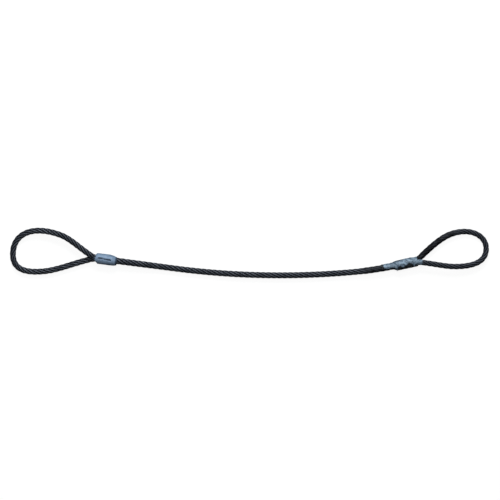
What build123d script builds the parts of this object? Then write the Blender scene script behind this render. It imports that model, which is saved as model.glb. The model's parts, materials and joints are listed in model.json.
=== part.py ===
from build123d import *

# Two-eye wire rope sling: a six-strand rope with a pressed metal sleeve at the left eye and a taped
# splice at the right eye.
#
# Millimetres. The sling lies on the floor plane Z = 0, +X runs from the sleeved eye to the taped eye,
# and the origin is the centre of the sling's outline, on the floor. The rope between the two splices
# is one curve, and every strand is a helix round it. The flexible rope is cut into rigid lengths that
# meet at small gaps, and each gap holds one bending joint.

import math
import os

import numpy as np

# Rope: six round strands laid right-handed round a fibre core
ROPE_DIAMETER = 18.6
LAY_LENGTH = 104.0
STRAND_COUNT = 6
STRAND_RADIUS = 2.8
CORE_RADIUS = 3.3
ROPE_RADIUS = ROPE_DIAMETER / 2
HELIX_RADIUS = ROPE_RADIUS - STRAND_RADIUS

# Tails: the strand ends of each eye, laid back in the grooves of the rope
TAIL_HELIX_RADIUS = 11.0
TAIL_REACH = TAIL_HELIX_RADIUS + STRAND_RADIUS
TAIL_STAGGER = (0.0, 6.0, 2.0, 8.0, 3.0, 7.0)
END_SETBACK = 1.5

# Pressed sleeve over the left splice: coned nose at the eye, arched taper at the rope
SLEEVE_LENGTH = 63.0
SLEEVE_RADIUS = 17.5
SLEEVE_NOSE = 4.0
SLEEVE_NOSE_RADIUS = 15.4
SLEEVE_SHOULDER = 4.0
SHOULDER_BULGE = 0.6
SLEEVE_TAPER = 16.0
SLEEVE_END_RADIUS = 12.4
SLEEVE_CLEARANCE = 0.2
NECK_LENGTH = 10.0
NECK_CONE = 6.0
GROOVE_LENGTH = 42.0
GROOVE_WIDTH = 2.6
GROOVE_DEPTH = 1.2

# Tape over the right splice, the rope beside it and the foot of one eye leg
SPLICE_LENGTH = 83.0
TAPE_THICKNESS = 1.3
TAPE_CLEARANCE = 0.15
TAPE_RAMP = 18.0
TAPE_LIP = 3.0
TAPE_ON_ROPE = 30.0
LEG_TAPE_LENGTH = 16.0
TAPE_GAP = 0.3

# Course of the rope on the floor: (length, angle turned to the left) of each stretch
LEFT_HEADING = -7.45
STRAIGHT_LENGTH = 190.0
SAG = (572.0, 12.6)
RISE = (125.0, 6.7)
COURSE = ((SLEEVE_LENGTH + STRAIGHT_LENGTH, 0.0), SAG, RISE, (SPLICE_LENGTH, 0.0))
RIGHT_HEADING = LEFT_HEADING + sum(turn for _, turn in COURSE)

# Heights of the rope's centre line: sleeve, taped splice and rope all rest on the floor
FLOOR_GAP = 0.1
LEFT_SPLICE_HEIGHT = SLEEVE_RADIUS
RIGHT_SPLICE_HEIGHT = TAIL_REACH + TAPE_CLEARANCE + TAPE_THICKNESS
ROPE_HEIGHT = ROPE_RADIUS + FLOOR_GAP
DIP_LENGTH = 150.0

# Eyes: each leg is a cubic curve from its foot at the splice to the crown. Distances are along and to
# the left of the axis that leaves the splice, and angles are from that axis.
LEG_OFFSET = 6.4
LEG_LIFT = 4.0
LEFT_CROWN = (266.5, 11.5)
LEFT_CROWN_TILT = 1.7
LEFT_LEGS = (
    {"side": -1, "angle": -31.5, "pull": 179.0, "crown_pull": 83.0, "height": LEFT_SPLICE_HEIGHT + LEG_LIFT},
    {"side": 1, "angle": 22.7, "pull": 181.0, "crown_pull": 90.0, "height": LEFT_SPLICE_HEIGHT - LEG_LIFT},
)
RIGHT_CROWN = (224.2, -1.1)
RIGHT_CROWN_TILT = -7.1
RIGHT_LEGS = (
    {"side": -1, "angle": -21.4, "pull": 152.0, "crown_pull": 62.0, "height": RIGHT_SPLICE_HEIGHT + LEG_LIFT},
    {"side": 1, "angle": 36.4, "pull": 172.0, "crown_pull": 54.0, "height": RIGHT_SPLICE_HEIGHT - LEG_LIFT},
)

# Bending joints. Each gap lets the rope's edge turn through the limit, with a little to spare for the
# slanted ends of the strands.
SPAN_COUNT = 5
BEND_LIMIT = 40.0
STRAND_SLANT = 1.5
HALF_GAP = ROPE_RADIUS * math.tan(math.radians(BEND_LIMIT / 2)) + STRAND_SLANT
LEFT_STUB = 20.0
RIGHT_STUB = 36.0
EYE_LIMIT = 30.0
EYE_PIVOT = 8.0
EYE_HALF_GAP = (ROPE_RADIUS + LEG_LIFT) * math.tan(math.radians(EYE_LIMIT / 2)) + STRAND_SLANT

# Sampling of centre lines, of strand paths and of straight bars
LINE_STEP = 0.5
POINTS_PER_LAY = 12
EYE_POINTS_PER_LAY = 8
SECTION_STEP = 20.0


def heading(degrees):
    """Unit vector in the floor plane."""
    angle = math.radians(degrees)
    return np.array([math.cos(angle), math.sin(angle), 0.0])


def eased(t):
    """Smooth rise from 0 to 1 as t goes from 0 to 1."""
    t = np.clip(t, 0.0, 1.0)
    return t * t * (3 - 2 * t)


class CentreLine:
    """A curve given by closely spaced points, with its arc length and a frame that stays upright."""

    def __init__(self, points):
        self.points = points
        steps = np.linalg.norm(np.diff(points, axis=0), axis=1)
        self.lengths = np.concatenate([[0.0], np.cumsum(steps)])
        self.length = self.lengths[-1]
        self.tangents = np.gradient(points, self.lengths, axis=0)

    def sampled(self, values, s):
        return np.stack([np.interp(s, self.lengths, values[:, i]) for i in range(3)], axis=-1)

    def at(self, s):
        return self.sampled(self.points, s)

    def frame(self, s):
        """Forward, leftward and upward unit vectors at arc length s."""
        forward = self.sampled(self.tangents, s)
        forward = forward / np.linalg.norm(forward, axis=-1, keepdims=True)
        left = np.cross([0.0, 0.0, 1.0], forward)
        left = left / np.linalg.norm(left, axis=-1, keepdims=True)
        return forward, left, np.cross(forward, left)


def course_points():
    """Centre line from the left splice's mouth to the right splice's mouth."""
    knots = np.cumsum([0.0] + [length for length, _ in COURSE])
    headings = LEFT_HEADING + np.cumsum([0.0] + [turn for _, turn in COURSE])
    count = int(knots[-1] / LINE_STEP)
    s = np.linspace(0, knots[-1], count + 1)
    middles = (s[1:] + s[:-1]) / 2
    angles = np.radians(np.interp(middles, knots, headings))
    step = knots[-1] / count
    points = np.zeros((count + 1, 3))
    points[1:, 0] = np.cumsum(step * np.cos(angles))
    points[1:, 1] = np.cumsum(step * np.sin(angles))

    dip_start = SLEEVE_LENGTH + LEFT_STUB
    rise_start = knots[-1] - SPLICE_LENGTH - RIGHT_STUB - DIP_LENGTH
    points[:, 2] = LEFT_SPLICE_HEIGHT
    points[:, 2] += (ROPE_HEIGHT - LEFT_SPLICE_HEIGHT) * eased((s - dip_start) / DIP_LENGTH)
    points[:, 2] += (RIGHT_SPLICE_HEIGHT - ROPE_HEIGHT) * eased((s - rise_start) / DIP_LENGTH)
    return points


def eye_points(mouth, out, crown, crown_tilt, legs):
    """Centre line of an eye, up its first leg and back down its second. out is a heading."""
    halves = []
    top = mouth + crown[0] * heading(out) + crown[1] * heading(out + 90)
    top[2] = ROPE_HEIGHT
    for leg in legs:
        foot = mouth + leg["side"] * LEG_OFFSET * heading(out + 90)
        foot[2] = leg["height"]
        leaving = foot + leg["pull"] * heading(out + leg["angle"])
        arriving = top + leg["side"] * leg["crown_pull"] * heading(out + 90 + crown_tilt)
        t = np.linspace(0, 1, 800)[:, None]
        halves.append(
            (1 - t) ** 3 * foot
            + 3 * (1 - t) ** 2 * t * leaving
            + 3 * (1 - t) * t**2 * arriving
            + t**3 * top
        )
    return np.vstack([halves[0], halves[1][-2::-1]])


def eye_ends(line, mouth, out):
    """Arc lengths at which the eye's two legs start, just past the eye's joint."""
    reach = (line.points - mouth) @ heading(out)
    beyond = np.nonzero(reach >= EYE_PIVOT + EYE_HALF_GAP)[0]
    return line.lengths[beyond[0]], line.lengths[beyond[-1]]


def strand(line, start, end, index, helix_radius=HELIX_RADIUS, per_lay=POINTS_PER_LAY):
    """One strand round a centre line. Whole indices are rope strands, half ones lie in the grooves."""
    s = np.linspace(start, end, max(4, math.ceil((end - start) / LAY_LENGTH * per_lay)))
    _, left, up = line.frame(s)
    angle = 2 * math.pi * (s / LAY_LENGTH + index / STRAND_COUNT)[:, None]
    points = line.at(s) + helix_radius * (np.cos(angle) * left + np.sin(angle) * up)
    with BuildPart() as bar:
        with BuildLine() as path:
            Spline(*[tuple(point) for point in points])
        with BuildSketch(Plane(origin=path.line @ 0, z_dir=path.line % 0)):
            Circle(STRAND_RADIUS)
        sweep(is_frenet=True)
    return bar.part


def section_planes(line, start, end):
    """Planes square to the line, evenly spread between two arc lengths."""
    s = np.linspace(start, end, max(2, math.ceil((end - start) / SECTION_STEP) + 1))
    forward, left, _ = line.frame(s)
    return [
        Plane(origin=tuple(origin), x_dir=tuple(x_dir), z_dir=tuple(z_dir))
        for origin, x_dir, z_dir in zip(line.at(s), left, forward)
    ]


def round_bar(line, start, end, radius, bore=0.0):
    """A bar or tube centred on the line itself."""
    planes = section_planes(line, start, end)
    with BuildPart() as bar:
        for plane in planes:
            with BuildSketch(plane):
                Circle(radius)
        loft()
        if bore:
            for plane in planes:
                with BuildSketch(plane):
                    Circle(bore)
            loft(mode=Mode.SUBTRACT)
    return bar.part


def save(part, name):
    part.label = name
    export_step(part, f"parts/{name}.step")


def save_group(solids, name):
    save(Compound(children=solids), name)


def save_rope(line, start, end, prefix, per_lay=POINTS_PER_LAY):
    """A rigid length of rope: six strands and the core, each in its own file."""
    for index in range(STRAND_COUNT):
        save(strand(line, start, end, index, per_lay=per_lay), f"{prefix}_strand_{index + 1}")
    save(round_bar(line, start, end, CORE_RADIUS), f"{prefix}_core")


def axial_plane(line, s):
    """Horizontal plane that holds the line's axis at s, with local x along the axis."""
    forward, left, up = line.frame(s)
    return Plane(origin=tuple(line.at(s)), x_dir=tuple(forward), z_dir=tuple(up))


def make_sleeve(line):
    """Pressed sleeve: a turned shell with a stepped bore and a shallow press mark along its top."""
    bore = TAIL_REACH + SLEEVE_CLEARANCE
    neck = ROPE_RADIUS + SLEEVE_CLEARANCE
    taper_start = SLEEVE_LENGTH - SLEEVE_TAPER
    neck_start = SLEEVE_LENGTH - NECK_LENGTH
    middle = axial_plane(line, 0.0)
    with BuildPart() as sleeve:
        with BuildSketch(middle):
            with BuildLine():
                lip = Line((-SLEEVE_NOSE, bore), (-SLEEVE_NOSE, SLEEVE_NOSE_RADIUS))
                shoulder = SagittaArc(lip @ 1, (SLEEVE_SHOULDER, SLEEVE_RADIUS), SHOULDER_BULGE)
                wall = Line(shoulder @ 1, (taper_start, SLEEVE_RADIUS))
                taper = TangentArc(wall @ 1, (SLEEVE_LENGTH, SLEEVE_END_RADIUS), tangent=wall % 1)
                end = Line(taper @ 1, (SLEEVE_LENGTH, neck))
                Polyline(end @ 1, (neck_start, neck), (neck_start - NECK_CONE, bore), lip @ 0)
            make_face()
        revolve(axis=Axis(middle.origin, middle.x_dir))
        with BuildSketch(middle.offset(SLEEVE_RADIUS - GROOVE_DEPTH)):
            with Locations((taper_start / 2, 0)):
                SlotOverall(GROOVE_LENGTH, GROOVE_WIDTH)
        extrude(amount=2 * GROOVE_DEPTH, mode=Mode.SUBTRACT)
    return sleeve.part


def make_splice_tape(line, start):
    """Wound tape over the tails: a cone up from the rope, then a plain tube to the mouth."""
    rope_bore = ROPE_RADIUS + TAPE_CLEARANCE
    tail_bore = TAIL_REACH + TAPE_CLEARANCE
    full = SPLICE_LENGTH + TAPE_LIP
    middle = axial_plane(line, start)
    with BuildPart() as tape:
        with BuildSketch(middle):
            with BuildLine():
                Polyline(
                    (0, rope_bore),
                    (TAPE_RAMP, tail_bore),
                    (full, tail_bore),
                    (full, tail_bore + TAPE_THICKNESS),
                    (TAPE_RAMP, tail_bore + TAPE_THICKNESS),
                    (0, rope_bore + TAPE_THICKNESS),
                    close=True,
                )
            make_face()
        revolve(axis=Axis(middle.origin, middle.x_dir))
    return tape.part


os.makedirs("parts", exist_ok=True)

# Centre lines, moved together so that the outline's centre is over the origin
course = course_points()
left_mouth = course[0].copy()
right_mouth = course[-1].copy()
left_loop = eye_points(left_mouth, LEFT_HEADING + 180, LEFT_CROWN, LEFT_CROWN_TILT, LEFT_LEGS)
right_loop = eye_points(right_mouth, RIGHT_HEADING, RIGHT_CROWN, RIGHT_CROWN_TILT, RIGHT_LEGS)
outline = np.vstack([course, left_loop, right_loop])
centre = (outline.max(axis=0) + outline.min(axis=0)) / 2
centre[2] = 0.0
rope = CentreLine(course - centre)
left_eye = CentreLine(left_loop - centre)
right_eye = CentreLine(right_loop - centre)

# Rope through both splices, and the five spans between them
splice_start = rope.length - SPLICE_LENGTH
first_joint = SLEEVE_LENGTH + LEFT_STUB + HALF_GAP
last_joint = splice_start - RIGHT_STUB - HALF_GAP
joints = np.linspace(first_joint, last_joint, SPAN_COUNT + 1)
for number in range(SPAN_COUNT):
    save_rope(rope, joints[number] + HALF_GAP, joints[number + 1] - HALF_GAP, f"span_{number + 1}")

left_end = first_joint - HALF_GAP
right_end = last_joint + HALF_GAP
mouth_end = rope.length - END_SETBACK
save_group([strand(rope, END_SETBACK, left_end, i) for i in range(STRAND_COUNT)], "left_splice_strands")
save(round_bar(rope, END_SETBACK, left_end, CORE_RADIUS), "left_splice_core")
save_group([strand(rope, right_end, mouth_end, i) for i in range(STRAND_COUNT)], "right_splice_strands")
save(round_bar(rope, right_end, mouth_end, CORE_RADIUS), "right_splice_core")

# Tails, cut to different lengths and laid in the grooves between the rope's strands
left_tails = []
right_tails = []
for number, setback in enumerate(TAIL_STAGGER):
    groove = number + 0.5
    left_tail_end = SLEEVE_LENGTH - NECK_LENGTH - NECK_CONE - END_SETBACK - setback
    left_tails.append(strand(rope, END_SETBACK, left_tail_end, groove, TAIL_HELIX_RADIUS))
    right_tail_start = splice_start + TAPE_RAMP + END_SETBACK + setback
    right_tails.append(strand(rope, right_tail_start, mouth_end, groove, TAIL_HELIX_RADIUS))
save_group(left_tails, "left_splice_tails")
save_group(right_tails, "right_splice_tails")

# Sleeve and tape
save(make_sleeve(rope), "swaged_sleeve")
save(make_splice_tape(rope, splice_start), "splice_tape")
tape_bore = ROPE_RADIUS + TAPE_CLEARANCE
tape_start = splice_start - TAPE_ON_ROPE
rope_tape = round_bar(rope, tape_start, splice_start - TAPE_GAP, tape_bore + TAPE_THICKNESS, tape_bore)
save(rope_tape, "rope_tape")

# Eyes
left_start, left_finish = eye_ends(left_eye, left_mouth - centre, LEFT_HEADING + 180)
save_rope(left_eye, left_start, left_finish, "left_eye", EYE_POINTS_PER_LAY)
right_start, right_finish = eye_ends(right_eye, right_mouth - centre, RIGHT_HEADING)
save_rope(right_eye, right_start, right_finish, "right_eye", EYE_POINTS_PER_LAY)
leg_tape_end = right_start + LEG_TAPE_LENGTH
leg_tape = round_bar(right_eye, right_start, leg_tape_end, tape_bore + TAPE_THICKNESS, tape_bore)
save(leg_tape, "leg_tape")
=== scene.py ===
import json
import math

import bpy
import numpy as np
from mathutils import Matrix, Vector, noise

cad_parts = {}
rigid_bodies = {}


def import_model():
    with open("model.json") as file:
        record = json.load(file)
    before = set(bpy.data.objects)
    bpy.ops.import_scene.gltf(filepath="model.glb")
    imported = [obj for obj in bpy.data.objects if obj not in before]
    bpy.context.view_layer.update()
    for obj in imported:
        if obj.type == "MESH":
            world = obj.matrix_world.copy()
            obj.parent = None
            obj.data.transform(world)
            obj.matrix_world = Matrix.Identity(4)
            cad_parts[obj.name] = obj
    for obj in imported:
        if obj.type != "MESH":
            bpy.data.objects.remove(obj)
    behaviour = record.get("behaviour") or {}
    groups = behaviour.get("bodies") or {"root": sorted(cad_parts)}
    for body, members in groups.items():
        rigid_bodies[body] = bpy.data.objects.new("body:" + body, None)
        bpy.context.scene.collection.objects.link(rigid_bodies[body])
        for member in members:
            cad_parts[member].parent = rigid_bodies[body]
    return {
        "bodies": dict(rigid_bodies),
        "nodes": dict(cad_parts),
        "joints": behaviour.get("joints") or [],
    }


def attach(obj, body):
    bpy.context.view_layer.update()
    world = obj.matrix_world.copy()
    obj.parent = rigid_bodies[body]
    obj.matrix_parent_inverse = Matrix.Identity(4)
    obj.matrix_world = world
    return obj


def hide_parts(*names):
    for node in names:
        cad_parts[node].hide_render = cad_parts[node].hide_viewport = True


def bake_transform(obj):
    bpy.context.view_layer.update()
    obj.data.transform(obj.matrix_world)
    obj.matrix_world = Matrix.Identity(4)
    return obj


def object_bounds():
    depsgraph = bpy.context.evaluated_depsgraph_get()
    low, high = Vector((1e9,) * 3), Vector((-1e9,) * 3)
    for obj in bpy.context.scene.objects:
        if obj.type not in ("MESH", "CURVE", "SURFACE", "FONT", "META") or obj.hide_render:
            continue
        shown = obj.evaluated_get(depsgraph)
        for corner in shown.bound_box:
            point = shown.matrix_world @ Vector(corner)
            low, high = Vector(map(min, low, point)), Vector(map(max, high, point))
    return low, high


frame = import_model()
cad_low, cad_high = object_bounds()

# All sizes below are millimetres and degrees. Meshes are written in metres.
MM = 0.001

# Rope
LAY_LENGTH = 104.0
STRAND_COUNT = 6
STRAND_RADIUS = 2.85
HELIX_RADIUS = 6.45
ROPE_RADIUS = STRAND_RADIUS + HELIX_RADIUS
CORE_RADIUS = 3.5
WIRES = 12
COLUMNS_PER_WIRE = 4
WIRE_SLANT = 19.0
RING_STEP = 2.6
CORE_STEP = 5.0
CORE_COLUMNS = 12

# Course of the rope on the floor: (length, angle turned to the left) of each stretch
SLEEVE_LENGTH = 63.0
SPLICE_LENGTH = 83.0
LEFT_HEADING = -7.45
COURSE = ((SLEEVE_LENGTH + 190.0, 0.0), (572.0, 12.6), (125.0, 6.7), (SPLICE_LENGTH, 0.0))
RIGHT_HEADING = LEFT_HEADING + sum(turn for _, turn in COURSE)
LEFT_STUB = 20.0
RIGHT_STUB = 36.0
DIP_LENGTH = 150.0
ROPE_HEIGHT = ROPE_RADIUS + 0.1

# Eyes, as distances along and to the left of the axis that leaves each splice
EYE_PIVOT = 8.0
LEG_OFFSET = 6.4
LEG_LIFT = 7.8
HUG_START = 32.0
HUG_RAMP = 40.0
HUG_LEAD = 18.0
LEFT_CROWN = (266.5, 11.5)
LEFT_CROWN_TILT = 1.7
LEFT_LEGS = (
    {"side": -1, "angle": -31.5, "pull": 179.0, "crown_pull": 83.0, "hug": (10.2, 90.0)},
    {"side": 1, "angle": 22.7, "pull": 181.0, "crown_pull": 90.0, "hug": (8.2, 130.0)},
)
RIGHT_CROWN = (224.2, -1.1)
RIGHT_CROWN_TILT = -7.1
RIGHT_LEGS = (
    {"side": -1, "angle": -21.4, "pull": 152.0, "crown_pull": 62.0, "hug": (4.0, 85.0)},
    {"side": 1, "angle": 36.4, "pull": 172.0, "crown_pull": 54.0, "hug": (5.4, 95.0)},
)
EYE_ENTRY = 14.0
ENTRY_CORNER = 6.0
EYE_BEND_END = 74.0
MOUTH_SQUEEZE = 0.90
SQUEEZE_LENGTH = 26.0

# Pressed sleeve. Two tongues reach out of its mouth, one above the legs and one below, and the edge is
# cut back between them. The far end tapers, sooner and more on the left side than on the right.
SLEEVE_RADIUS = 17.0
SLEEVE_BORE = 14.0
SLEEVE_RIM = 3.0
TONGUE_REACH = 11.0
TONGUE_ROUNDING = 0.005
TONGUE_TIP = 0.07
CUT_LEFT = 2.5
CUT_RIGHT = 7.5
MOUTH_CONE = 5.0
TAPER_START_LEFT = 43.0
TAPER_START_RIGHT = 52.0
TAPER_LEFT = 5.6
TAPER_RIGHT = 2.4
MARK_DEPTH = 1.9
MARK_WIDTH = 2.3
FLASH_HEIGHT = 0.35
DENT_DEPTH = 0.45
DENT_SIZE = 13.0
SLEEVE_COLUMNS = 160
SLEEVE_ROWS = 110

# Floor, and how far past each splice the points lie that it stays below
FLOOR_HEIGHT = -0.0012
TIP_REACH = 340.0

# Tape
TAPE_RADIUS = 15.9
TAPE_ON_ROPE = 30.0
TAPE_RAMP = 18.0
TAPE_THICKNESS = 0.35
TAPE_SAG = 2.6
GREASED_RADIUS = 10.75
LEG_TAPE_LENGTH = 14.5

# Strips of tape on the splice. Each reaches from first to last along it. The edges give the angle of
# the strip's two torn edges, from the left side over the top, at distances along the splice. lift is
# its height over the layer below, seed picks its creases, and dullness darkens the whole strip. flaps
# are (place, angle, size, rise) of corners that stand off, and slant is how far the start is cut askew.
TAPE_STRIPS = {
    "tape_on_rope_strip": {
        "low_edge": [(-40, -70), (10, -70)],
        "high_edge": [(-40, 100), (-22, 118), (-12, 124), (0, 110), (10, 114)],
        "first": -31.0,
        "last": 7.0,
        "lift": 0.7,
        "seed": 1.0,
        "dullness": 0.05,
        "slant": 12.0,
    },
    "tape_back_strip": {
        "low_edge": [(0, -80), (90, -80)],
        "high_edge": [(0, 72), (90, 84)],
        "first": 3.0,
        "last": 76.0,
        "lift": 0.35,
        "seed": 2.0,
        "dullness": 0.46,
    },
    "tape_front_strip": {
        "low_edge": [(-2, 62), (8, 57), (40, 40), (48, 38)],
        "high_edge": [
            (-4, 116), (4, 122), (8, 126), (13, 164), (18, 116),
            (26, 104), (33, 126), (39, 124), (44, 108), (48, 104),
        ],
        "first": 0.0,
        "last": 47.0,
        "lift": 0.85,
        "seed": 3.0,
        "dullness": 0.0,
        "flaps": [(13, 168, 9.0, 4.2)],
    },
    "tape_mouth_strip": {
        "low_edge": [(34, -40), (90, -50)],
        "high_edge": [
            (34, 112), (46, 114), (52, 102), (57, 96), (62, 104),
            (66, 124), (70, 150), (75, 120), (90, 114),
        ],
        "first": 38.0,
        "last": SPLICE_LENGTH + 2.0,
        "lift": 0.95,
        "seed": 5.0,
        "dullness": 0.08,
        "flaps": [(70, 154, 8.0, 1.6)],
    },
}

# Light and camera, in metres and watts, placed from the middle of the part: place, size, power, colour
AREA_LIGHTS = {
    "key": ((-0.3, 3.2, 2.6), 1.8, 104.0, (0.95, 0.98, 1.0)),
    "top": ((0.0, 1.0, 4.0), 2.0, 34.0, (1.0, 1.0, 1.0)),
}
FLOOR_SIZE = 40.0
WORLD_LIGHT = 0.09
WORLD_SEEN = 0.93
CAMERA_LENS = 200.0
CAMERA_SENSOR = 36.0
CAMERA_SHIFT = (0.0016, 0.0096)
VIEW_WIDTH = 1.6


# ---------------------------------------------------------------- curves


def heading(degrees):
    """Unit vector in the floor plane."""
    angle = math.radians(degrees)
    return np.array([math.cos(angle), math.sin(angle), 0.0])


def eased(t):
    """Smooth rise from 0 to 1 as t goes from 0 to 1."""
    t = np.clip(t, 0.0, 1.0)
    return t * t * (3 - 2 * t)


def bump(x, centre, width):
    """Smooth hill of height 1 at centre."""
    return np.exp(-(((np.asarray(x, float) - centre) / width) ** 2))


def joint_point(name):
    """Where a CAD joint stands, in millimetres."""
    found = next(joint for joint in frame["joints"] if joint["name"] == name)
    return np.array(found["pos_m"]) / MM


class CentreLine:
    """A curve given by closely spaced points, with its arc length and a frame that stays upright."""

    def __init__(self, points):
        self.points = points
        gaps = np.linalg.norm(np.diff(points, axis=0), axis=1)
        self.lengths = np.concatenate([[0.0], np.cumsum(gaps)])
        self.length = self.lengths[-1]
        self.tangents = np.gradient(points, self.lengths, axis=0)

    def sampled(self, values, s):
        """Values known at each point of the curve, at arc length s."""
        return np.stack([np.interp(s, self.lengths, values[:, i]) for i in range(3)], axis=-1)

    def at(self, s):
        """Point of the curve at arc length s."""
        return self.sampled(self.points, s)

    def frame(self, s):
        """Forward, leftward and upward unit vectors at arc length s."""
        forward = self.sampled(self.tangents, s)
        forward = forward / np.linalg.norm(forward, axis=-1, keepdims=True)
        left = np.cross([0.0, 0.0, 1.0], forward)
        left = left / np.linalg.norm(left, axis=-1, keepdims=True)
        return forward, left, np.cross(forward, left)

    def nearest(self, point):
        """Arc length of the point of the curve nearest to a point."""
        return self.lengths[np.argmin(np.linalg.norm(self.points - point, axis=1))]


def course_line(mouth, left_height, right_height):
    """Centre line from the left splice's mouth to the right splice's mouth."""
    knots = np.cumsum([0.0] + [length for length, _ in COURSE])
    headings = LEFT_HEADING + np.cumsum([0.0] + [turn for _, turn in COURSE])
    s = np.linspace(0, knots[-1], int(knots[-1] * 2) + 1)
    middles = (s[1:] + s[:-1]) / 2
    angles = np.radians(np.interp(middles, knots, headings))
    points = np.zeros((len(s), 3))
    points[1:, 0] = np.cumsum(np.cos(angles)) * (s[1] - s[0])
    points[1:, 1] = np.cumsum(np.sin(angles)) * (s[1] - s[0])
    dip_start = SLEEVE_LENGTH + LEFT_STUB
    rise_start = knots[-1] - SPLICE_LENGTH - RIGHT_STUB - DIP_LENGTH
    height = left_height + (ROPE_HEIGHT - left_height) * eased((s - dip_start) / DIP_LENGTH)
    height += (right_height - ROPE_HEIGHT) * eased((s - rise_start) / DIP_LENGTH)
    points[:, :2] += mouth[:2]
    points[:, 2] = height
    return CentreLine(points)


def eye_line(mouth, out, crown, crown_tilt, legs):
    """Centre line of an eye, from inside the splice, round the crown and back inside."""
    halves = []
    top = mouth + crown[0] * heading(out) + crown[1] * heading(out + 90)
    top[2] = ROPE_HEIGHT
    for leg in legs:
        foot = mouth + leg["side"] * LEG_OFFSET * heading(out + 90)
        foot[2] = max(mouth[2] - leg["side"] * LEG_LIFT, ROPE_HEIGHT)
        leaving = heading(out + leg["angle"])
        arriving = top + leg["side"] * leg["crown_pull"] * heading(out + 90 + crown_tilt)
        t = np.linspace(0, 1, 800)[:, None]
        loop = (
            (1 - t) ** 3 * foot
            + 3 * (1 - t) ** 2 * t * (foot + leg["pull"] * leaving)
            + 3 * (1 - t) * t**2 * arriving
            + t**3 * top
        )
        reach = (loop - mouth) @ heading(out)
        distance, length = leg["hug"]
        drawn = distance * eased((reach + HUG_LEAD) / HUG_RAMP) * (1 - eased((reach - HUG_START) / length))
        loop = loop - leg["side"] * drawn[:, None] * heading(out + 90)
        inside = loop[0] - EYE_ENTRY * heading(out)
        corner = loop[0] - ENTRY_CORNER * heading(out)
        t = np.linspace(0, 1, 40)[:-1, None]
        entry = (1 - t) ** 2 * inside + 2 * (1 - t) * t * corner + t**2 * loop[0]
        halves.append(np.vstack([entry, loop]))
    return CentreLine(np.vstack([halves[0], halves[1][-2::-1]]))


# ---------------------------------------------------------------- meshes


def grid_faces(rows, columns, wrap, flip=False):
    """Quads of a grid of rows by columns, closed round the columns if wrap."""
    faces = []
    for row in range(rows - 1):
        for column in range(columns if wrap else columns - 1):
            a = row * columns + column
            b = row * columns + (column + 1) % columns
            quad = (a, b, b + columns, a + columns)
            faces.append(quad[::-1] if flip else quad)
    return faces


def new_piece(name, points, faces, material, uv=None, values=None, sharp_rings=()):
    """A smooth-shaded mesh object. uv is per vertex, values are named numbers per vertex, and
    sharp_rings are loops of vertices whose edges stay crisp."""
    mesh = bpy.data.meshes.new(name)
    mesh.from_pydata((np.asarray(points) * MM).tolist(), [], faces)
    mesh.polygons.foreach_set("use_smooth", [True] * len(mesh.polygons))
    for key, numbers in (values or {}).items():
        attribute = mesh.attributes.new(key, "FLOAT", "POINT")
        attribute.data.foreach_set("value", np.asarray(numbers, np.float32))
    if uv is not None:
        layer = mesh.uv_layers.new(name="UVMap")
        corner = np.zeros(len(mesh.loops), np.int32)
        mesh.loops.foreach_get("vertex_index", corner)
        layer.data.foreach_set("uv", np.asarray(uv, np.float32)[corner].ravel())
    if len(sharp_rings):
        rings = [set(ring) for ring in sharp_rings]
        sharp = mesh.attributes.new("sharp_edge", "BOOLEAN", "EDGE")
        for edge in mesh.edges:
            sharp.data[edge.index].value = any(ring.issuperset(edge.vertices) for ring in rings)
    mesh.materials.append(material)
    mesh.update()
    piece = bpy.data.objects.new(name, mesh)
    bpy.context.scene.collection.objects.link(piece)
    return piece


def tube_piece(name, rings, material, uv, values):
    """A closed tube through rings of points, with flat ends."""
    rows, columns = rings.shape[:2]
    faces = grid_faces(rows, columns, wrap=True, flip=True)
    first = tuple(range(columns))
    last = tuple(range((rows - 1) * columns, rows * columns))
    faces += [first, last[::-1]]
    flat = rings.reshape(-1, 3)
    return new_piece(name, flat, faces, material, uv, values, (first, last))


def slab_piece(name, outer, inner, material, uv=None, wrap=False, values=None):
    """A thin closed sheet between two grids of points."""
    rows, columns = outer.shape[:2]
    count = rows * columns
    faces = grid_faces(rows, columns, wrap, flip=True)
    faces += [tuple(count + vertex for vertex in face[::-1]) for face in faces]
    last = (rows - 1) * columns
    for column in range(columns if wrap else columns - 1):
        following = (column + 1) % columns
        faces.append((column, following, count + following, count + column))
        faces.append((last + following, last + column, count + last + column, count + last + following))
    if not wrap:
        for row in range(rows - 1):
            a = row * columns
            b = a + columns
            faces.append((b, a, count + a, count + b))
            a, b = a + columns - 1, b + columns - 1
            faces.append((a, b, count + b, count + a))
    points = np.vstack([outer.reshape(-1, 3), inner.reshape(-1, 3)])
    doubled = None if uv is None else np.vstack([uv, uv])
    numbers = {key: np.concatenate([value, value]) for key, value in (values or {}).items()}
    return new_piece(name, points, faces, material, doubled, numbers)


def rough(points, scale, seed=0.0):
    """Smooth noise between about -1 and 1 at each point, repeatable. scale is the size of a lump."""
    shift = Vector((seed, 1.7 * seed, -seed))
    return np.array([noise.noise(Vector(point) / scale + shift) for point in points])


# ---------------------------------------------------------------- rope


def spaced(start, end, step):
    """Evenly spaced lengths from start to end, no more than about a step apart."""
    return np.linspace(start, end, max(6, int((end - start) / step) + 1))


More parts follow.
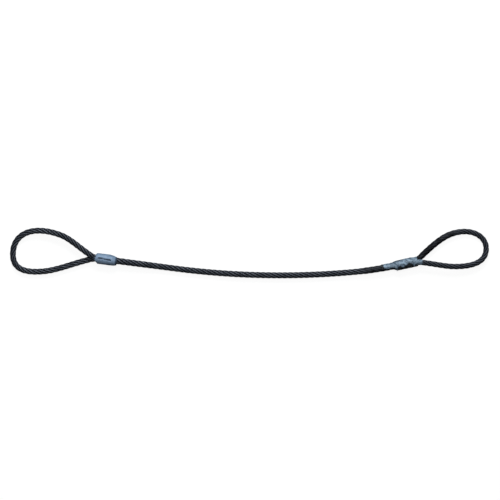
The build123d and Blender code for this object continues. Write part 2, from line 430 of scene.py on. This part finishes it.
def strand_rings(line, s, index, grease, girth):
    """Outline rings of one strand: a helix round the line, with its outer wires as lobes."""
    heavy = eased((grease - 0.5) / 0.4)
    radius = STRAND_RADIUS * girth * (1 + 0.55 * heavy)
    helix = HELIX_RADIUS * girth * (1 - 0.20 * heavy)
    forward, left, up = line.frame(s)
    angle = 2 * math.pi * (s / LAY_LENGTH + index / STRAND_COUNT)[:, None]
    outward = np.cos(angle) * left + np.sin(angle) * up
    centres = line.at(s) + helix[:, None] * outward
    along = np.gradient(centres, s, axis=0)
    along = along / np.linalg.norm(along, axis=1, keepdims=True)
    outward = outward - (outward * along).sum(axis=1, keepdims=True) * along
    outward = outward / np.linalg.norm(outward, axis=1, keepdims=True)
    side = np.cross(along, outward)
    columns = WIRES * COLUMNS_PER_WIRE
    valley = 0.83 + 0.14 * grease
    shoulder = 0.965 + 0.025 * grease
    lobes = np.stack([np.ones_like(s), shoulder, valley, shoulder], axis=1)
    lobes = np.tile(lobes, WIRES)
    turn = -math.tan(math.radians(WIRE_SLANT)) / STRAND_RADIUS
    around = 2 * math.pi * np.arange(columns) / columns + turn * s[:, None]
    reach = radius[:, None] * lobes
    across = (reach * np.cos(around))[:, :, None] * outward[:, None, :]
    across = across + (reach * np.sin(around))[:, :, None] * side[:, None, :]
    rings = centres[:, None, :] + across
    return rings, lobes, np.cos(around)


def ring_uv(s, columns):
    """Metres along and turns around, for each point of a tube."""
    along = np.repeat(s[:, None], columns, axis=1)
    around = np.repeat(np.linspace(0, 1, columns, endpoint=False)[None, :], len(s), axis=0)
    return np.stack([along.ravel() * MM, around.ravel()], axis=1)


def squeezed(points, mouth, out):
    """Points of an eye leg, pressed together towards the splice's axis as they enter its mouth."""
    axis = heading(out)
    offset = points - mouth
    reach = offset @ axis
    radial = offset - reach[..., None] * axis
    scale = MOUTH_SQUEEZE + (1 - MOUTH_SQUEEZE) * eased((reach + 4.0) / SQUEEZE_LENGTH)
    return mouth + reach[..., None] * axis + radial * scale[..., None]


def strand_piece(name, line, start, end, index, coat, material, press=None):
    """One strand. coat gives the share of grease and the girth of the rope, as a factor, along the
    line, and press is the mouth and heading of the splice that squeezes it."""
    s = spaced(start, end, RING_STEP)
    oiled, girth = coat(s)
    rings, lobes, crest = strand_rings(line, s, index, oiled, girth)
    if press:
        rings = squeezed(rings, *press)
    columns = rings.shape[1]
    values = {"grease": np.repeat(oiled, columns), "crown": lobes.ravel(), "crest": crest.ravel()}
    piece = tube_piece(name, rings, material, ring_uv(s, columns), values)
    return piece


def core_piece(name, line, start, end, material, press=None):
    """Fibre core, with a slight twist in its outline."""
    s = spaced(start, end, CORE_STEP)
    _, left, up = line.frame(s)
    around = np.linspace(0, 2 * math.pi, CORE_COLUMNS, endpoint=False)
    ripple = CORE_RADIUS * (1 + 0.05 * np.sin(3 * around[None, :] + 0.4 * s[:, None]))
    across = np.cos(around)[None, :, None] * left[:, None, :]
    across = across + np.sin(around)[None, :, None] * up[:, None, :]
    rings = line.at(s)[:, None, :] + ripple[:, :, None] * across
    if press:
        rings = squeezed(rings, *press)
    piece = tube_piece(name, rings, material, ring_uv(s, CORE_COLUMNS), {})
    return piece


# ---------------------------------------------------------------- materials


class Shader:
    """Builds one procedural material from nodes."""

    def __init__(self, name):
        self.material = bpy.data.materials.new(name)
        self.material.use_nodes = True
        self.tree = self.material.node_tree
        self.surface = self.tree.nodes["Principled BSDF"]

    def add(self, kind, inputs=None, **settings):
        node = self.tree.nodes.new(kind)
        for key, value in settings.items():
            setattr(node, key, value)
        for key, value in (inputs or {}).items():
            self.put(node.inputs[key], value)
        return node

    def put(self, socket, value):
        """Gives a socket a fixed value, or a link from another node."""
        if isinstance(value, bpy.types.NodeSocket):
            self.tree.links.new(value, socket)
        else:
            socket.default_value = value

    def finish(self, **inputs):
        """Sets the surface's inputs, named with underscores for spaces."""
        for key, value in inputs.items():
            self.put(self.surface.inputs[key.replace("_", " ")], value)
        return self.material

    def attribute(self, name):
        return self.add("ShaderNodeAttribute", attribute_name=name).outputs["Fac"]

    def place(self, scale, source="Object"):
        """Texture coordinates stretched by a factor along each axis."""
        found = self.add("ShaderNodeTexCoord").outputs[source]
        return self.add("ShaderNodeMapping", {"Vector": found, "Scale": scale}).outputs["Vector"]

    def noise(self, vector, scale, detail=3.0, roughness=0.55):
        inputs = {"Vector": vector, "Scale": scale, "Detail": detail, "Roughness": roughness}
        return self.add("ShaderNodeTexNoise", inputs).outputs["Fac"]

    def math(self, operation, a, b=0.0, clamp=False):
        node = self.add("ShaderNodeMath", {0: a, 1: b}, operation=operation, use_clamp=clamp)
        return node.outputs[0]

    def range(self, value, low, high, to_low=0.0, to_high=1.0):
        inputs = {"Value": value, "From Min": low, "From Max": high, "To Min": to_low, "To Max": to_high}
        return self.add("ShaderNodeMapRange", inputs).outputs["Result"]

    def mix(self, factor, a, b):
        node = self.add("ShaderNodeMix", {0: factor, 6: a, 7: b}, data_type="RGBA")
        return node.outputs[2]

    def bump(self, height, strength, distance_mm):
        inputs = {"Height": height, "Strength": strength, "Distance": distance_mm * MM}
        return self.add("ShaderNodeBump", inputs).outputs["Normal"]


def rgb(red, green, blue):
    return (red, green, blue, 1.0)


def wire_material():
    """Dark oiled steel wire: streaks along the wires, black grease, crowns lightened by wear and painted
    highlight, and painted shade with grease in the valleys.
    """
    shader = Shader("rope_wire")
    streaks = shader.noise(shader.place((60.0, 40.0, 1.0), "UV"), 1.0, 4.0)
    blotches = shader.noise(shader.place((1.0, 1.0, 1.0)), 45.0, 4.0)
    specks = shader.noise(shader.place((1.0, 1.0, 1.0)), 900.0, 2.0)
    steel = shader.mix(shader.range(streaks, 0.35, 0.7), rgb(0.030, 0.036, 0.050), rgb(0.12, 0.14, 0.18))
    crown = shader.range(shader.attribute("crown"), 0.86, 1.0)
    crest = shader.range(shader.attribute("crest"), 0.35, 0.95)
    # lit is high on the wire crowns that face out of the rope and low in the valleys: it drives painted
    # highlight and painted shade.
    lit = shader.math("MULTIPLY", crown, crest)
    wear_and_highlight = shader.math("MULTIPLY", lit, shader.range(blotches, 0.35, 0.65), clamp=True)
    # Worn crowns with painted highlight: the steel is lightened on the outward crests.
    steel = shader.mix(shader.math("MULTIPLY", wear_and_highlight, 0.6), steel, rgb(0.26, 0.29, 0.35))
    speckled = shader.math("ADD", lit, shader.range(specks, 0.3, 0.7, -0.15, 0.15))
    # Painted shade with black grease: the valleys between wires and the grooves between strands go near black.
    valley_grease_and_shade = shader.range(speckled, 0.05, 0.7, 1.0, 0.0)
    cover = shader.math("ADD", shader.attribute("grease"), shader.range(blotches, 0.35, 0.7, -0.25, 0.2))
    cover = shader.range(cover, 0.0, 1.0)
    black = shader.math("MAXIMUM", shader.math("MULTIPLY", valley_grease_and_shade, 0.92), cover, clamp=True)
    colour = shader.mix(black, steel, rgb(0.0075, 0.008, 0.0105))
    metal = shader.range(black, 0.0, 1.0, 0.6, 0.0)
    gloss = shader.range(shader.math("ADD", streaks, shader.math("MULTIPLY", black, 0.3)), 0.3, 1.0, 0.36, 0.6)
    height = shader.math("ADD", streaks, shader.math("MULTIPLY", specks, 0.35))
    normal = shader.bump(height, 0.5, 0.12)
    shine = shader.range(black, 0.2, 1.0, 0.5, 0.12)
    return shader.finish(
        Base_Color=colour, Metallic=metal, Roughness=gloss, Normal=normal, Specular_IOR_Level=shine
    )


def core_material():
    """Oil-soaked fibre core."""
    shader = Shader("fibre_core")
    fibres = shader.noise(shader.place((400.0, 20.0, 1.0), "UV"), 1.0, 3.0)
    colour = shader.mix(fibres, rgb(0.012, 0.010, 0.008), rgb(0.035, 0.028, 0.02))
    return shader.finish(Base_Color=colour, Roughness=0.7, Normal=shader.bump(fibres, 0.6, 0.2))


def sleeve_material():
    """Pressed galvanised sleeve: dull bluish metal, mottled, scratched along, with painted shade in its groove,
    at its ends and in its bore.
    """
    shader = Shader("sleeve_steel")
    mottle = shader.noise(shader.place((1.0, 1.0, 1.0)), 160.0, 5.0, 0.6)
    clouds = shader.noise(shader.place((1.0, 1.0, 1.0)), 45.0, 2.0)
    scratches = shader.noise(shader.place((60.0, 900.0, 400.0)), 1.0, 3.0)
    grain = shader.noise(shader.place((1.0, 1.0, 1.0)), 1500.0, 2.0)
    metal = shader.mix(shader.range(clouds, 0.3, 0.7), rgb(0.21, 0.315, 0.46), rgb(0.33, 0.47, 0.66))
    metal = shader.mix(shader.range(mottle, 0.5, 0.75, 0.0, 0.55), metal, rgb(0.41, 0.53, 0.69))
    metal = shader.mix(shader.range(scratches, 0.62, 0.72, 0.0, 0.5), metal, rgb(0.13, 0.17, 0.23))
    shade_and_grime = shader.attribute("shade_and_grime")
    # Painted shade in the press mark's groove, at both ends and in the bore, plus random mottled stains,
    # darkens the metal.
    stain_and_shade = shader.math("ADD", shade_and_grime, shader.range(mottle, 0.3, 0.7, -0.18, 0.1), clamp=True)
    colour = shader.mix(stain_and_shade, metal, rgb(0.022, 0.045, 0.085))
    gloss = shader.range(shader.math("ADD", mottle, stain_and_shade), 0.3, 1.5, 0.5, 0.65)
    height = shader.math("ADD", shader.math("MULTIPLY", mottle, 0.8), shader.math("MULTIPLY", grain, 0.15))
    height = shader.math("SUBTRACT", height, shader.math("MULTIPLY", scratches, 0.5))
    normal = shader.bump(height, 0.55, 0.35)
    metallic = shader.range(stain_and_shade, 0.0, 1.0, 0.15, 0.05)
    return shader.finish(Base_Color=colour, Metallic=metallic, Roughness=gloss, Normal=normal)


def tape_material(name, light, dark, shade_and_dirt_colour):
    """Silver cloth tape: fine weave under a coating with patches of wear, creases painted lighter where they
    rise and darker in their folds as painted highlight and painted shade, and painted shade at its edges.
    """
    shader = Shader(name)
    creases = shader.noise(shader.place((1.0, 1.0, 1.0)), 110.0, 5.0, 0.62)
    patches = shader.noise(shader.place((1.0, 1.0, 1.0)), 42.0, 3.0)
    threads_a = shader.add("ShaderNodeTexWave", {"Vector": shader.place((1.0, 1.0, 1.0), "UV"), "Scale": 260.0})
    threads_b = shader.add(
        "ShaderNodeTexWave",
        {"Vector": shader.place((1.0, 1.0, 1.0), "UV"), "Scale": 260.0},
        bands_direction="Y",
    )
    weave = shader.math("ADD", threads_a.outputs["Fac"], threads_b.outputs["Fac"])
    # Painted highlight and painted shade: the coat is lighter where the creases rise and darker in their folds.
    coat = shader.mix(shader.range(creases, 0.40, 0.60), dark, light)
    coat = shader.mix(shader.range(weave, 0.2, 1.8, 0.0, 0.12), coat, dark)
    # Painted shade along the strips' edges and ends, with random dirty patches, darkens the coat.
    shade_and_dirt = shader.attribute("shade_and_grime")
    stain_and_shade = shader.math("ADD", shade_and_dirt, shader.range(patches, 0.35, 0.7, -0.2, 0.25), clamp=True)
    colour = shader.mix(stain_and_shade, coat, shade_and_dirt_colour)
    height = shader.math("ADD", creases, shader.math("MULTIPLY", weave, 0.06))
    normal = shader.bump(height, 0.7, 0.7)
    gloss = shader.range(creases, 0.3, 0.7, 0.34, 0.52)
    return shader.finish(Base_Color=colour, Metallic=0.15, Roughness=gloss, Normal=normal)


def floor_material():
    """Pale floor. Seen directly it is near white; to the object it is dim, so undersides stay dark."""
    shader = Shader("floor")
    glow = shader.add("ShaderNodeEmission", {"Color": rgb(1.0, 1.0, 1.0), "Strength": 0.90})
    matt = shader.add("ShaderNodeBsdfDiffuse", {"Color": rgb(0.25, 0.25, 0.25)})
    pale = shader.add("ShaderNodeAddShader", {0: glow.outputs[0], 1: matt.outputs[0]})
    dim = shader.add("ShaderNodeBsdfDiffuse", {"Color": rgb(0.04, 0.04, 0.045)})
    seen = shader.add("ShaderNodeLightPath").outputs["Is Camera Ray"]
    pick = shader.add("ShaderNodeMixShader", {0: seen, 1: dim.outputs[0], 2: pale.outputs[0]})
    shader.put(shader.tree.nodes["Material Output"].inputs["Surface"], pick.outputs[0])
    return shader.material


WIRE = wire_material()
CORE = core_material()
SLEEVE = sleeve_material()
TAPE = tape_material(
    "silver_tape",
    light=rgb(0.36, 0.50, 0.63),
    dark=rgb(0.12, 0.18, 0.25),
    shade_and_dirt_colour=rgb(0.016, 0.024, 0.034),
)
UNDER_TAPE = tape_material(
    "under_tape",
    light=rgb(0.035, 0.045, 0.055),
    dark=rgb(0.012, 0.015, 0.02),
    shade_and_dirt_colour=rgb(0.008, 0.009, 0.01),
)


# ---------------------------------------------------------------- sleeve


def press_mark(s, across):
    """Mark the press left on top, from 0 to 1: a short groove, then a longer one that drifts sideways."""
    first = bump(across, 1.6, MARK_WIDTH) * eased((s - 4) / 5) * eased((24 - s) / 5)
    drift = 0.9 - 0.095 * (s - 24)
    second = bump(across, drift, MARK_WIDTH) * eased((s - 21) / 6) * eased((50 - s) / 4)
    return first + (0.75 + 0.5 * eased((s - 36) / 6)) * second


def sleeve_piece(line):
    """Pressed sleeve: conical tongues between the legs, arched taper at the rope, press mark on top."""
    around = np.linspace(0, 2 * math.pi, SLEEVE_COLUMNS, endpoint=False)
    cut = np.where(np.cos(around) > 0, CUT_LEFT, CUT_RIGHT)
    # About 0 at the tongues' rounded tips, rising to nearly 1 in the cuts between them
    rounded = np.sqrt(np.cos(around) ** 2 + TONGUE_ROUNDING) - TONGUE_TIP
    mouth = -TONGUE_REACH + (TONGUE_REACH + cut) * rounded
    end = SLEEVE_LENGTH + SLEEVE_RIM
    s = mouth[None, :] + (end - mouth[None, :]) * np.linspace(0, 1, SLEEVE_ROWS)[:, None]

    cone = MOUTH_CONE * eased((5.0 - s) / 17.0)
    leftness = (1 + np.cos(around)[None, :]) / 2
    taper_start = TAPER_START_RIGHT + (TAPER_START_LEFT - TAPER_START_RIGHT) * leftness
    taper_depth = TAPER_RIGHT + (TAPER_LEFT - TAPER_RIGHT) * leftness
    taper = taper_depth * np.clip((s - taper_start) / (end - taper_start), 0, 1) ** 1.7
    radius = SLEEVE_RADIUS - cone - taper
    on_top = (np.sin(around)[None, :] > 0).astype(float)
    mark = on_top * press_mark(s, radius * np.cos(around)[None, :])
    flash = bump(np.abs(np.sin(around))[None, :], 0.0, 0.035) * eased((s - 6) / 6) * eased((50 - s) / 6)
    wall = np.stack([s, radius * np.cos(around)[None, :], radius * np.sin(around)[None, :]], axis=-1)
    dents = DENT_DEPTH * rough(wall.reshape(-1, 3), DENT_SIZE, 4.0).reshape(s.shape)
    radius = radius - MARK_DEPTH * mark + FLASH_HEIGHT * flash + dents * eased((s - mouth[None, :]) / 6)

    # Outer wall, then the end face, the bore and back to the mouth, as rows of (along, radius)
    thickness = 1.3 + 1.9 * eased((s[0] + 6) / 12)
    rows = list(zip(s, radius))
    end_face = [(end + 1.2, 10.9), (end + 1.2, 9.8)]
    bore = [(end - 8.0, 9.7), (end - 15.0, SLEEVE_BORE), (9.0, SLEEVE_BORE)]
    rows += [(np.full_like(mouth, place), np.full_like(mouth, reach)) for place, reach in end_face + bore]
    rows += [(mouth + 0.3, radius[0] - thickness)]
    along, left, up = line.frame(0.0)
    radial = np.cos(around)[:, None] * left + np.sin(around)[:, None] * up
    origin = line.at(0.0)
    rings = np.array([origin + place[:, None] * along + reach[:, None] * radial for place, reach in rows])
    count, columns = rings.shape[:2]
    faces = grid_faces(count, columns, wrap=True)
    last = (count - 1) * columns
    faces += [(last + c, last + (c + 1) % columns, (c + 1) % columns, c) for c in range(columns)]
    # Painted shade: the end face and the bore are painted dark, and so are the press mark's groove and the last
    # millimetres at each end of the outer wall.
    shade_and_grime = np.full((count, columns), 0.9)
    edges = 0.95 * eased((s - end + 5.0) / 1.6) + 0.5 * eased((mouth[None, :] + 1.6 - s) / 1.6)
    shade_and_grime[: len(s)] = np.clip(1.6 * mark, 0, 1) + edges
    values = {"shade_and_grime": shade_and_grime.ravel()}
    piece = new_piece("swaged_sleeve_shell", rings.reshape(-1, 3), faces, SLEEVE, None, values)
    return piece


# ---------------------------------------------------------------- tape


def strand_valleys(s, angle):
    """0 over each strand of the rope and 1 over the valleys between them."""
    phase = 2 * math.pi * s / LAY_LENGTH
    return (1 - np.cos(STRAND_COUNT * (angle - phase))) / 2


def wrap_radius(p, s, angle):
    """Radius of the wrapped rope at a distance p past the start of the splice: lobed, then full. It
    sags a little on the right side, and is drawn in on the left near the mouth."""
    lobes = strand_valleys(s, angle)
    full = eased((p + 1.0) / (TAPE_RAMP + 1.0))
    rope = GREASED_RADIUS + 0.3 - 0.6 * lobes
    bundle = TAPE_RADIUS - 1.1 - 0.5 * (1 - lobes)
    sag = TAPE_SAG * full * eased(1 - np.abs(np.cos(angle) + 1) / 0.9)
    mouth_side = 1.6 * eased((p - 56.0) / 22.0) * eased(np.cos(angle) * 1.4)
    return rope + (bundle - rope) * full + sag - mouth_side


def wrapped_point(line, start, p, angle, radius):
    """Points round the line, at a distance p past start."""
    s = start + p
    _, left, up = line.frame(s)
    radial = np.cos(angle)[..., None] * left + np.sin(angle)[..., None] * up
    return line.at(s) + radius[..., None] * radial


def under_wrap(line, start):
    """First layer of wrap, black with grease, right round the splice."""
    p = np.linspace(-TAPE_ON_ROPE - 4, SPLICE_LENGTH + 2.5, 120)
    around = np.linspace(0, 2 * math.pi, 96, endpoint=False)
    p_grid, angle = np.meshgrid(p, around, indexing="ij")
    radius = wrap_radius(p_grid, start + p_grid, angle)
    lumps = rough(np.stack([p_grid, 12 * np.cos(angle), 12 * np.sin(angle)], -1).reshape(-1, 3), 9.0, 2.0)
    radius = radius + 0.45 * lumps.reshape(p_grid.shape)
    closing = eased((p_grid - SPLICE_LENGTH + 8) / 10.5)
    radius = radius - 2.2 * closing
    edge = eased((p_grid + TAPE_ON_ROPE + 4) / 4.0)
    outer = wrapped_point(line, start, p_grid, angle, radius - 0.35 * (1 - edge))
    inner = wrapped_point(line, start, p_grid, angle, radius - 0.9)
    uv = np.stack([p_grid.ravel() * MM, angle.ravel() * TAPE_RADIUS * MM], 1)
    shade_and_grime = np.full(p_grid.size, 0.2)
    return slab_piece("splice_under_wrap", outer, inner, UNDER_TAPE, uv, wrap=True, values={"shade_and_grime": shade_and_grime})


def tape_strip(name, line, start, low_edge, high_edge, first, last, lift, seed, dullness, flaps=(), slant=0.0):
    """A strip of silver tape, as described above TAPE_STRIPS."""
    rows = int((last - first) / 0.9)
    p = np.linspace(first, last, rows)
    across = np.linspace(0, 1, 110)
    tear = rough([(x, 3.0 * seed, 0.0) for x in p], 4.0, seed)
    fray = rough([(x, 5.0 * seed, 9.0) for x in p], 1.3, seed)
    low = np.interp(p, *zip(*low_edge)) + 3.0 * tear + 1.5 * fray
    high = np.interp(p, *zip(*high_edge)) + 4.0 * tear - 2.0 * fray
    angle = np.radians(low[:, None] + (high - low)[:, None] * across[None, :])
    sweep = rough([(3.0 * a, 20.0 + seed, 0.0) for a in across * 8], 2.0, seed)
    ends = eased((p - first) / 10)[:, None] * eased((last - p) / 10)[:, None]
    p_grid = p[:, None] + 2.6 * sweep[None, :] * (1 - ends)
    p_grid += slant * (across[None, :] - 0.5) * ((last - p) / (last - first))[:, None]
    radius = wrap_radius(p_grid, start + p_grid, angle)
    place = np.stack([p_grid, 14 * np.cos(angle), 14 * np.sin(angle)], -1).reshape(-1, 3)
    crinkle = 0.60 * rough(place, 6.0, seed) + 0.45 * np.abs(rough(place, 3.0, seed + 3))
    radius = radius + lift + crinkle.reshape(p_grid.shape)
    for flap_p, flap_angle, size, rise in flaps:
        distance = np.hypot(p_grid - flap_p, (np.degrees(angle) - flap_angle) * 0.26)
        radius = radius + rise * np.clip(1 - distance / size, 0, 1) ** 1.6
    outer = wrapped_point(line, start, p_grid, angle, radius)
    inner = wrapped_point(line, start, p_grid, angle, radius - TAPE_THICKNESS)
    uv = np.stack([p_grid.ravel() * MM, angle.ravel() * TAPE_RADIUS * MM], 1)
    from_ends = np.minimum(p - first, last - p)[:, None] / 3.0
    from_low = (angle - np.radians(low)[:, None]) / math.radians(16)
    from_high = (np.radians(high)[:, None] - angle) / math.radians(14)
    edge = np.minimum(from_ends, np.minimum(from_low, from_high))
    # Painted shade along the torn edges and ends, over the strip's overall darkening (dullness).
    shade_and_grime = dullness + np.clip(0.75 * (1 - edge), 0, 0.75) ** 1.5
    return slab_piece(name, outer, inner, TAPE, uv, values={"shade_and_grime": shade_and_grime.ravel()})


def leg_tape_piece(line, start, press):
    """Tape round the foot of one eye leg, hugging its strands, with a torn end."""
    along = np.linspace(-6.0, LEG_TAPE_LENGTH, 60)
    around = np.linspace(0, 2 * math.pi, 84, endpoint=False)
    along_grid, angle = np.meshgrid(along, around, indexing="ij")
    torn = rough([(3 * math.cos(a), 3 * math.sin(a), 2.0) for a in around], 1.4, 8.0)
    stretch = along_grid / LEG_TAPE_LENGTH
    along_grid = along_grid + 3.5 * torn[None, :] * np.clip(stretch, 0, 1)
    place = np.stack([along_grid, 10 * np.cos(angle), 10 * np.sin(angle)], -1).reshape(-1, 3)
    crinkle = (0.3 * rough(place, 5.0, 7.0) + 0.2 * rough(place, 2.4, 9.0)).reshape(angle.shape)
    radius = ROPE_RADIUS + 0.55 - 1.1 * strand_valleys(start + along_grid, angle) + crinkle
    outer = squeezed(wrapped_point(line, start, along_grid, angle, radius), *press)
    inner = squeezed(wrapped_point(line, start, along_grid, angle, radius - TAPE_THICKNESS), *press)
    uv = np.stack([along_grid.ravel() * MM, angle.ravel() * ROPE_RADIUS * MM], 1)
    shade_and_grime = np.clip(0.22 + 0.5 * eased((stretch - 0.6) / 0.4), 0, 1).ravel()
    return slab_piece("leg_tape_wrap", outer, inner, TAPE, uv, wrap=True, values={"shade_and_grime": shade_and_grime})


# ---------------------------------------------------------------- assembly


def metres(point):
    """A point in metres, as plain numbers."""
    return tuple(float(value) for value in np.asarray(point) * MM)


left_out = LEFT_HEADING + 180
left_mouth = joint_point("left_eye_bend") - EYE_PIVOT * heading(left_out)
right_mouth = joint_point("right_eye_bend") - EYE_PIVOT * heading(RIGHT_HEADING)
rope = course_line(left_mouth, left_mouth[2], right_mouth[2])
left_eye = eye_line(left_mouth, left_out, LEFT_CROWN, LEFT_CROWN_TILT, LEFT_LEGS)
right_eye = eye_line(right_mouth, RIGHT_HEADING, RIGHT_CROWN, RIGHT_CROWN_TILT, RIGHT_LEGS)
splice_start = rope.length - SPLICE_LENGTH
tape_start = splice_start - TAPE_ON_ROPE

# Bodies along the rope, the joints between them, and where each strand piece starts and ends
BODIES = ("left_splice", "span_1", "span_2", "span_3", "span_4", "span_5", "right_splice")
JOINTS = ("left_neck_bend", "body_bend_1", "body_bend_2", "body_bend_3", "body_bend_4", "right_neck_bend")
stations = [rope.nearest(joint_point(name)) for name in JOINTS]
middles = [(a + b) / 2 for a, b in zip(stations, stations[1:])]
piece_ends = [2.0] + middles + [rope.length - 2.0]
bend_ends = [SLEEVE_LENGTH + 3.0] + middles + [tape_start - 5.0]


def body_coat(s):
    """Share of the rope hidden by grease, and its girth. The grease grows to the right, most of all
    just before the tape. The girth is largest next to the sleeve and before the tape."""
    near_tape = eased((s - (tape_start - 85)) / 35)
    grease = 0.04 + 0.20 * eased((s - 350) / 350) + 0.66 * near_tape
    return grease, 1.07 + 0.05 * near_tape + 0.07 * eased((260 - s) / 200)


def left_eye_coat(s):
    """Clean and full in girth all round, with a little more grease at the crown."""
    return 0.04 + 0.06 * bump(s, left_eye.length / 2, 80), 1.045 + 0 * s


def right_eye_coat(s):
    """Greased all round, and thick with it on the upper leg."""
    upper_leg = eased((s - 0.60 * right_eye.length) / (0.2 * right_eye.length))
    return 0.44 + 0.56 * upper_leg, 0.98 + 0.08 * upper_leg


def build_rope():
    """The rope between the splices: each strand and the core in one piece per joint.
    The piece at a joint takes the place of the CAD nodes of the body to its right."""
    for number in range(len(JOINTS)):
        bodies = BODIES[number : number + 2]
        start, end = piece_ends[number], piece_ends[number + 1]
        bend = metres(rope.at(bend_ends[number])), metres(rope.at(bend_ends[number + 1]))
        in_span = bodies[1].startswith("span")
        for index in range(STRAND_COUNT):
            name = f"rope_strand_{index + 1}_bend_{number + 1}"
            piece = strand_piece(name, rope, start, end, index, body_coat, WIRE)
            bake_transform(piece)
            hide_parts(f"{bodies[1]}_strand_{index + 1}" if in_span else "right_splice_strands")
            if number == 0:
                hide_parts("left_splice_strands")
        piece = core_piece(f"rope_core_bend_{number + 1}", rope, start, end, CORE)
        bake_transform(piece)
        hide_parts(f"{bodies[1]}_core")
        if number == 0:
            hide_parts("left_splice_core")


def build_eye(side, line, mouth, out, coat):
    """The strands and core of one eye."""
    bodies = f"{side}_splice", f"{side}_eye"
    bend = metres(mouth + 2.0 * heading(out)), metres(mouth + EYE_BEND_END * heading(out))
    press = mouth, out
    for index in range(STRAND_COUNT):
        name = f"{side}_eye_strand_{index + 1}_laid"
        piece = strand_piece(name, line, 0.0, line.length, index, coat, WIRE, press)
        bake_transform(piece)
        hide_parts(f"{side}_eye_strand_{index + 1}")
    piece = core_piece(f"{side}_eye_core_laid", line, 0.0, line.length, CORE, press)
    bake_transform(piece)
    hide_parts(f"{side}_eye_core")
    return bodies, bend


def build_tape():
    """The wrap of the right splice and the tape on the foot of the right eye's lower leg."""
    under = under_wrap(rope, splice_start)
    strips = {name: tape_strip(name, rope, splice_start, **strip) for name, strip in TAPE_STRIPS.items()}
    for piece in (under, *strips.values()):
        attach(piece, "right_splice")
    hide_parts("splice_tape")
    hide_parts("rope_tape")
    sideways = LEG_OFFSET * heading(RIGHT_HEADING + 90)
    foot = right_eye.nearest(right_mouth + np.array([0, 0, LEG_LIFT]) - sideways)
    leg = leg_tape_piece(right_eye, foot, (right_mouth, RIGHT_HEADING))
    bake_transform(leg)
    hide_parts("leg_tape")


build_rope()
build_eye("left", left_eye, left_mouth, left_out, left_eye_coat)
right_bodies, right_bend = build_eye("right", right_eye, right_mouth, RIGHT_HEADING, right_eye_coat)
shell = sleeve_piece(rope)
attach(shell, "left_splice")
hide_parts("swaged_sleeve")
build_tape()
for name in ("left_splice_tails", "right_splice_tails"):
    node = frame["nodes"][name]
    node.data.materials.clear()
    node.data.materials.append(WIRE)


# ---------------------------------------------------------------- stage


def lower_with_part(floor):
    """Keeps the floor under the part: it drops when an eye bends below the height the rope lies at."""
    driver = floor.driver_add("location", 2).driver
    driver.type = "MIN"
    left_tip = left_mouth + TIP_REACH * heading(left_out)
    right_tip = right_mouth + TIP_REACH * heading(RIGHT_HEADING)
    marks = {"rest": (None, np.array([0.0, 0.0, FLOOR_HEIGHT / MM]))}
    marks["left"] = frame["bodies"]["left_eye"], left_tip
    marks["right"] = frame["bodies"]["right_eye"], right_tip
    for name, (body, place) in marks.items():
        mark = bpy.data.objects.new(f"floor_mark_{name}", None)
        bpy.context.scene.collection.objects.link(mark)
        mark.parent = body
        mark.location = metres(place)
        height = driver.variables.new()
        height.name = name
        height.type = "TRANSFORMS"
        height.targets[0].id = mark
        height.targets[0].transform_type = "LOC_Z"
        height.targets[0].transform_space = "WORLD_SPACE"


def build_world():
    """Weak light from all round, seen by the camera as white."""
    world = bpy.data.worlds.new("studio")
    world.use_nodes = True
    nodes, links = world.node_tree.nodes, world.node_tree.links
    seen = nodes.new("ShaderNodeLightPath").outputs["Is Camera Ray"]
    strength = nodes.new("ShaderNodeMapRange")
    strength.inputs["To Min"].default_value = WORLD_LIGHT
    strength.inputs["To Max"].default_value = WORLD_SEEN
    links.new(seen, strength.inputs["Value"])
    links.new(strength.outputs["Result"], nodes["Background"].inputs["Strength"])
    nodes["Background"].inputs["Color"].default_value = rgb(0.94, 0.97, 1.0)
    return world


def build_stage():
    """Pale floor, a large soft light from behind, a weaker one above, and a camera straight above."""
    scene = bpy.context.scene
    centre = (cad_low + cad_high) / 2
    bpy.ops.mesh.primitive_plane_add(size=FLOOR_SIZE, location=(centre.x, centre.y, FLOOR_HEIGHT))
    floor = bpy.context.object
    floor.name = "floor"
    floor.data.materials.append(floor_material())
    lower_with_part(floor)
    scene.world = build_world()

    for name, (offset, size, power, colour) in AREA_LIGHTS.items():
        light = bpy.data.lights.new(name, "AREA")
        light.size = size
        light.energy = power
        light.color = colour
        lamp = bpy.data.objects.new(name, light)
        scene.collection.objects.link(lamp)
        lamp.location = (centre.x + offset[0], centre.y + offset[1], offset[2])
        lamp.rotation_euler = (centre - lamp.location).to_track_quat("-Z", "Y").to_euler()

    camera = bpy.data.cameras.new("camera")
    camera.lens = CAMERA_LENS
    camera.sensor_width = CAMERA_SENSOR
    eye = bpy.data.objects.new("camera", camera)
    scene.collection.objects.link(eye)
    height = VIEW_WIDTH * CAMERA_LENS / CAMERA_SENSOR
    eye.location = (centre.x + CAMERA_SHIFT[0], centre.y + CAMERA_SHIFT[1], height)
    scene.camera = eye
    scene.view_settings.view_transform = "Standard"


build_stage()
